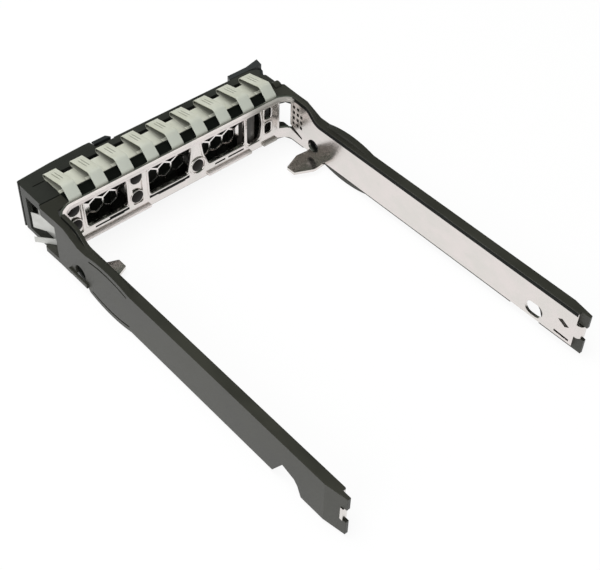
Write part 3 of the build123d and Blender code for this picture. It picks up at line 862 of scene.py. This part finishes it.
@dataclass(frozen=True)
class BezelTrim:
    """Dark parts of the bezel: its rear apron and a sheet by its post, both near-black as painted shade, its
    pegs' heads, its post's face, a joint and a lobe.
    """

    sheet: Sheet = Sheet()
    deck_rear: float = -15.9
    deck_top: float = 12.9
    peg_radius: float = 1.66
    peg_end: float = -10.88
    peg_crown: float = 0.22
    peg_skirt: float = 0.4
    post: tuple[float, float] = (-24.3, -14.8)
    post_radius: float = 2.56
    post_flutes: int = 9
    flute_depth: float = 0.05
    shadow_sheet_depth: tuple[float, float] = (-15.7, -15.0)
    shadow_sheet_reach: tuple[float, float] = (1.3, 3.4)
    lobe: tuple[float, float] = (-37.03, -16.0)
    lobe_length: float = 2.0
    lobe_section: tuple[float, float] = (1.25, 0.95)
    seam_span: tuple[float, float] = (32.0, 37.6)
    seam_place: float = -15.75

    def apron(self) -> Surface:
        """Apron from the deck's rear edge down to the wall, near-black as painted shade between the fingers:
        a bar carried along X.
        """
        half = self.sheet.wall_half - 0.9
        front = self.sheet.wall_rear - self.sheet.thickness - 0.05
        top = self.deck_top - 0.15
        corners = [(self.deck_rear + 0.02, top), (front - 1.7, top), (front, 12.1)]
        corners += [(front, 11.5), (front - 1.0, 11.9), (self.deck_rear + 0.02, 12.0)]
        section = np.array([(-y, z) for y, z in corners])
        path = np.linspace((-half, 0.0, 0.0), (half, 0.0, 0.0), 4)
        return carried(section, path, (0.0, 0.0, 1.0))

    def peg_head(self, x: float, z: float) -> Surface:
        """Crowned head of a peg: y = end + crown (1 - (r / R)^2), turned about Y."""
        radius = np.linspace(0.01, self.peg_radius, 12)
        crown = self.peg_end + self.peg_crown * (1 - (radius / self.peg_radius) ** 2)
        base = self.peg_end - self.peg_skirt
        skirt = np.array([(self.peg_radius, base), (0.01, base)])
        return turned(np.vstack([np.column_stack([radius, crown]), skirt]), x, z)

    def post_sleeve(self) -> Surface:
        """Fluted post behind the oval window: r = R + d cos(n t), carried up in Z."""
        t = np.linspace(0.0, 2 * math.pi, 120, endpoint=False)
        radius = self.post_radius + self.flute_depth * np.cos(self.post_flutes * t)
        x = self.post[0] + radius * np.cos(t)
        y = self.post[1] + radius * np.sin(t)
        z = np.linspace(0.4, 12.4, 8)[:, None]
        ring = np.ones_like(z)
        return Surface(np.stack([ring * x, ring * y, z * np.ones_like(x)], axis=-1))

    def post_shadow_sheet(self) -> Surface:
        """Sheet from the post towards the left window, near-black as painted shadow: a bar carried up in Z.
        """
        path = np.linspace((0.0, 0.0, 0.4), (0.0, 0.0, 12.3), 4)
        across = (self.post[0] + self.shadow_sheet_reach[0], self.post[0] + self.shadow_sheet_reach[1])
        return carried(bar(self.shadow_sheet_depth, across, 0.1), path, (1.0, 0.0, 0.0))

    def corner_lobe(self) -> Surface:
        """Rounded lobe on the far corner of the deck: an oval section carried along X."""
        x, y = self.lobe
        path = np.linspace((x, y, self.deck_top), (x + self.lobe_length, y, self.deck_top), 4)
        return carried(oval(*self.lobe_section, 20), path, (0.0, 0.0, 1.0))

    def seam(self) -> Surface:
        """Dark joint between the deck and the near runner: a bar carried along X."""
        path = np.array([(x, self.seam_place, self.deck_top) for x in self.seam_span])
        return carried(bar((-0.16, 0.16), (-0.3, 0.03), 0.03), path, (0.0, 0.0, 1.0))

    def build(self, bench: Bench) -> None:
        """Makes the bezel's inner trim."""
        finishes = bench.finishes
        # The apron wears near-black as painted shade; the seam wears it as a dark joint.
        bench.add("bezel_apron", [self.apron()], finishes.shade, "bezel_plastic", smooth=False)
        heads = [self.peg_head(x, z) for x, z in self.sheet.pegs()]
        bench.add("peg_heads", heads, finishes.peg, "bezel_plastic")
        bench.add("post_sleeve", [self.post_sleeve()], finishes.post, "bezel_plastic")
        bench.add("bezel_seam", [self.seam()], finishes.shade, "bezel_plastic")
        # The sheet by the post wears near-black as painted shadow.
        bench.add("post_shadow_sheet", [self.post_shadow_sheet()], finishes.shade, "bezel_plastic")
        bench.add("corner_lobe", [self.corner_lobe()], finishes.runner, "runner_plastic")


@dataclass(frozen=True)
class GroundingStrip:
    """Nine folded fingers on a carrier band, with two lines pressed into each head."""

    count: int = 9
    pitch: float = 7.6
    first: float = 29.875
    width: float = 3.5
    thickness: float = 0.25
    deck: float = 12.9
    wall_front: float = -11.85
    wall_height: float = 13.3
    fold: tuple[float, float] = (-23.3, 1.5)
    bend: tuple[float, float] = (-14.85, 16.2)
    band: tuple[float, float] = (-21.65, -16.0)
    lines: tuple[float, float] = (-0.45, 0.35)
    line_depth: float = 0.16
    line_width: float = 0.11
    line_span: tuple[float, float] = (9.2, 13.2)
    # Painted shade in the pressed lines.
    line_painted_shade: float = 0.75
    crown: float = 0.06
    # Painted shade over the fingers' outer face, which leaves the band lighter.
    outer_painted_shade: float = 0.2
    fold_end: float = 6.5
    head_start: float = 7.9
    stem_start: float = 17.5
    band_columns: int = 600
    # Painted shadow on the band beside each finger.
    gap_painted_shadow: float = 0.55
    gap_fade: float = 0.8

    def path(self) -> np.ndarray:
        """Outer face of a finger in the (y, z) plane, at even steps of its length."""
        corners = np.array([
            (self.band[1] - 1.0, self.deck),
            (self.fold[0], self.deck),
            (self.fold[0], self.deck + self.fold[1]),
            self.bend,
            (self.wall_front - 0.05, self.wall_height + 0.3),
            (self.wall_front - 0.05, self.wall_height - 0.5),
        ])
        line = rounded(corners, 0.72, steps=9)
        length = np.concatenate([[0.0], np.cumsum(np.linalg.norm(np.diff(line, axis=0), axis=1))])
        even = np.linspace(0.0, length[-1], 100)
        places = [np.interp(even, length, line[:, column]) for column in (0, 1)]
        return np.column_stack([even, *places])

    def finger(self, x: float) -> Surface:
        """One finger, a grid of the way s along its path and the way u across it.

        A point is path(s) + u X + h n, where n is the path's normal towards the sheet's inner face.
        The outer face has h = d and the inner one h = t + d. The depth d is a crown,
        -c (1 - (2 u / w)^2), with each pressed line, D exp(-((u - u0) / e)^2), over a stretch of s.
        The painted shade is slight on the outer face, darker in the pressed lines, and full on the inner face
        as far as the stem, where it fades out.

        Args:
            x: Place of the finger's middle.

        Returns:
            The finger's surface.
        """
        s, y, z = self.path().T
        step = units(np.column_stack([np.gradient(y), np.gradient(z)]))
        normal = np.column_stack([step[:, 1], -step[:, 0]])
        top = np.linspace(-self.width / 2, self.width / 2, 61)
        under = np.linspace(self.width / 2, -self.width / 2, 9)
        u = np.concatenate([top, under])[None]
        base = np.concatenate([np.zeros_like(top), np.full_like(under, self.thickness)])[None]
        low, high = self.line_span
        stretch = (rise(s, low, 8) - rise(s, high, 8))[:, None]
        pressed = sum(np.exp(-(((u - place) / self.line_width) ** 2)) for place in self.lines)
        head = rise(s, self.head_start, 6)[:, None]
        depth = self.line_depth * pressed * stretch - self.crown * (1 - (2 * u / self.width) ** 2) * head
        h = base + depth
        grids = [x + u + 0 * h, y[:, None] + normal[:, :1] * h, z[:, None] + normal[:, 1:] * h]
        # Painted shade: the inner face under the head, fading past the stem's start; the outer face slightly,
        # more in the pressed lines.
        inside = np.concatenate([np.zeros_like(top), np.ones_like(under)])[None]
        folded = rise(s, self.fold_end, -3)[:, None]
        hollow_painted_shade = folded * (0.5 + 0.5 * (self.width / 2 - u) / self.width) + (1 - folded)
        above_stem = rise(s, self.stem_start, -2)[:, None]
        face = self.outer_painted_shade + (self.line_painted_shade - self.outer_painted_shade) * np.minimum(pressed, 1.0) * stretch
        shade = inside * hollow_painted_shade * above_stem + (1 - inside) * face
        return Surface(np.stack(grids, axis=-1), shade=shade)

    def carrier(self) -> Surface:
        """Carrier band under the fingers: a bar carried along X, its painted shadow a exp(-d / e) past each
        finger.
        """
        last = self.first - self.pitch * (self.count - 1)
        ends = (last - self.width / 2, self.first + self.width / 2)
        x = np.linspace(*ends, self.band_columns)
        path = np.column_stack([x, 0 * x, 0 * x])
        section = bar((-self.band[1], -self.band[0]), (self.deck, self.deck + self.thickness - 0.01), 0.06)
        beyond = (x - last + self.width / 2) % self.pitch - self.width
        # Painted shadow on the band past each finger's +X edge.
        shade = np.where(beyond < 0, 0.0, self.gap_painted_shadow * np.exp(-beyond / self.gap_fade))
        band = carried(section, path, (0.0, 0.0, 1.0))
        return replace(band, shade=np.repeat(shade[:, None], len(section), axis=1))

    def build(self, bench: Bench, node: bpy.types.Object) -> None:
        """Makes the strip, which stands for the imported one.

        Args:
            bench: Where the pieces are made.
            node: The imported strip.
        """
        fingers = [self.finger(self.first - self.pitch * k) for k in range(self.count)]
        finishes = bench.finishes
        surfaces = [self.carrier(), *fingers]
        strip = bench.add("grounding_strip", surfaces, finishes.contact, "contact_alloy")
        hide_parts(node.name)


@dataclass
class Studio:
    """Camera, lamps, floor and the light around them."""

    camera_place: tuple[float, float, float] = (0.12992, 0.14364, 0.20188)
    camera_turn: tuple[float, float, float] = (-2.3944, -0.8048, 0.0361)
    focal_pixels: float = 1166.2
    image_width: int = 600
    centre: tuple[float, float] = (298.4, 284.7)
    floor_size: float = 6.0
    floor_seen: float = 0.90
    floor_mirrored: float = 0.9
    around: float = 0.40
    above: float = 0.11

    def camera(self) -> None:
        """Camera at the photograph's view: azimuth, elevation and roll in radians."""
        azimuth, elevation, roll = self.camera_turn
        level = math.cos(elevation)
        ahead = Vector((level * math.sin(azimuth), level * math.cos(azimuth), math.sin(elevation)))
        right = ahead.cross(Vector((0, 0, 1))).normalized()
        up = right.cross(ahead)
        turned_right = math.cos(roll) * right + math.sin(roll) * up
        turned_up = math.cos(roll) * up - math.sin(roll) * right
        rows = Matrix((turned_right, turned_up, -ahead)).transposed().to_4x4()
        lens = bpy.data.cameras.new("camera")
        lens.sensor_fit = "HORIZONTAL"
        lens.sensor_width = 36.0
        lens.lens = self.focal_pixels * lens.sensor_width / self.image_width
        lens.shift_x = (self.image_width / 2 - self.centre[0]) / self.image_width
        lens.clip_start = 0.01
        seen = bpy.data.objects.new("camera", lens)
        seen.matrix_world = Matrix.Translation(self.camera_place) @ rows
        bpy.context.collection.objects.link(seen)
        bpy.context.scene.camera = seen

    def lamp(self, name: str, place: tuple, target: tuple, size: float, power: float, mirrored: bool) -> None:
        """One soft square lamp.

        Args:
            name: Name of the lamp.
            place: Where it stands.
            target: What it points at.
            size: Side of the square.
            power: Power in watts.
            mirrored: Whether it shows in reflections.
        """
        light = bpy.data.lights.new(name, "AREA")
        light.size = size
        light.energy = power
        lamp = bpy.data.objects.new(name, light)
        lamp.location = place
        lamp.rotation_euler = (Vector(target) - Vector(place)).to_track_quat("-Z", "Y").to_euler()
        lamp.visible_glossy = mirrored
        bpy.context.collection.objects.link(lamp)

    def floor(self) -> None:
        """Plain pale floor: white to the camera and in reflections, with the caddy's soft shadow."""
        half = self.floor_size / 2
        corners = [(-half, -half, 0.0), (half, -half, 0.0), (half, half, 0.0), (-half, half, 0.0)]
        mesh = bpy.data.meshes.new("floor")
        mesh.from_pydata(corners, [], [(0, 1, 2, 3)])
        sheet = bpy.data.objects.new("floor", mesh)
        bpy.context.collection.objects.link(sheet)
        graph = Graph(bpy.data.materials.new("floor"))
        shade = graph.add("ShaderNodeBsdfDiffuse", inputs={"Color": (0.86, 0.86, 0.86)})
        glow = graph.add("ShaderNodeEmission", inputs={"Color": (1.0, 1.0, 1.0), "Strength": 1.0})
        seen = graph.ray("Is Camera Ray") * self.floor_seen
        mirrored = graph.ray("Is Glossy Ray") * self.floor_mirrored
        mixed = graph.add("ShaderNodeMixShader", inputs={0: seen + mirrored, 1: shade, 2: glow})
        mesh.materials.append(graph.close(mixed))

    def world(self) -> None:
        """Even pale light from all round, dimmer in reflections from above."""
        world = bpy.data.worlds.new("studio")
        bpy.context.scene.world = world
        graph = Graph(world)
        kind = "ShaderNodeBackground"
        around = graph.add(kind, inputs={"Color": (0.98, 1.0, 0.97), "Strength": self.around})
        above = graph.add(kind, inputs={"Color": (0.82, 1.0, 0.84), "Strength": self.above})
        white = graph.add(kind, inputs={"Color": (1.0, 1.0, 1.0), "Strength": 1.0})
        dimmed = graph.add("ShaderNodeMixShader", inputs={0: graph.ray("Is Glossy Ray"), 1: around, 2: above})
        shares = {0: graph.ray("Is Camera Ray"), 1: dimmed, 2: white}
        graph.close(graph.add("ShaderNodeMixShader", inputs=shares))

    def build(self) -> None:
        """Sets up the whole studio."""
        self.camera()
        self.floor()
        self.world()
        self.lamp("key", (0.15, -0.20, 0.80), (0.0, 0.0, 0.0), 0.5, 5.0, mirrored=False)
        self.lamp("fill", (0.6, 0.1, 0.35), (0.0, 0.0, 0.0), 0.6, 3.0, mirrored=True)
        bpy.context.scene.view_settings.view_transform = "Standard"


def main() -> None:
    """Builds the scene in order and reports each piece."""
    logging.basicConfig(level=logging.INFO, format="%(name)s: %(message)s")
    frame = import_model()
    Studio().build()
    finishes = Finishes()
    finishes.dress(frame["nodes"])
    bench = Bench(frame, finishes)
    TrayTrim().build(bench)
    RunnerTrim().build(bench)
    BezelTrim().build(bench)
    GroundingStrip().build(bench, frame["nodes"]["contact_strip_top"])
    LOG.info("caddy is dressed")


if __name__ == "__main__":
    main()
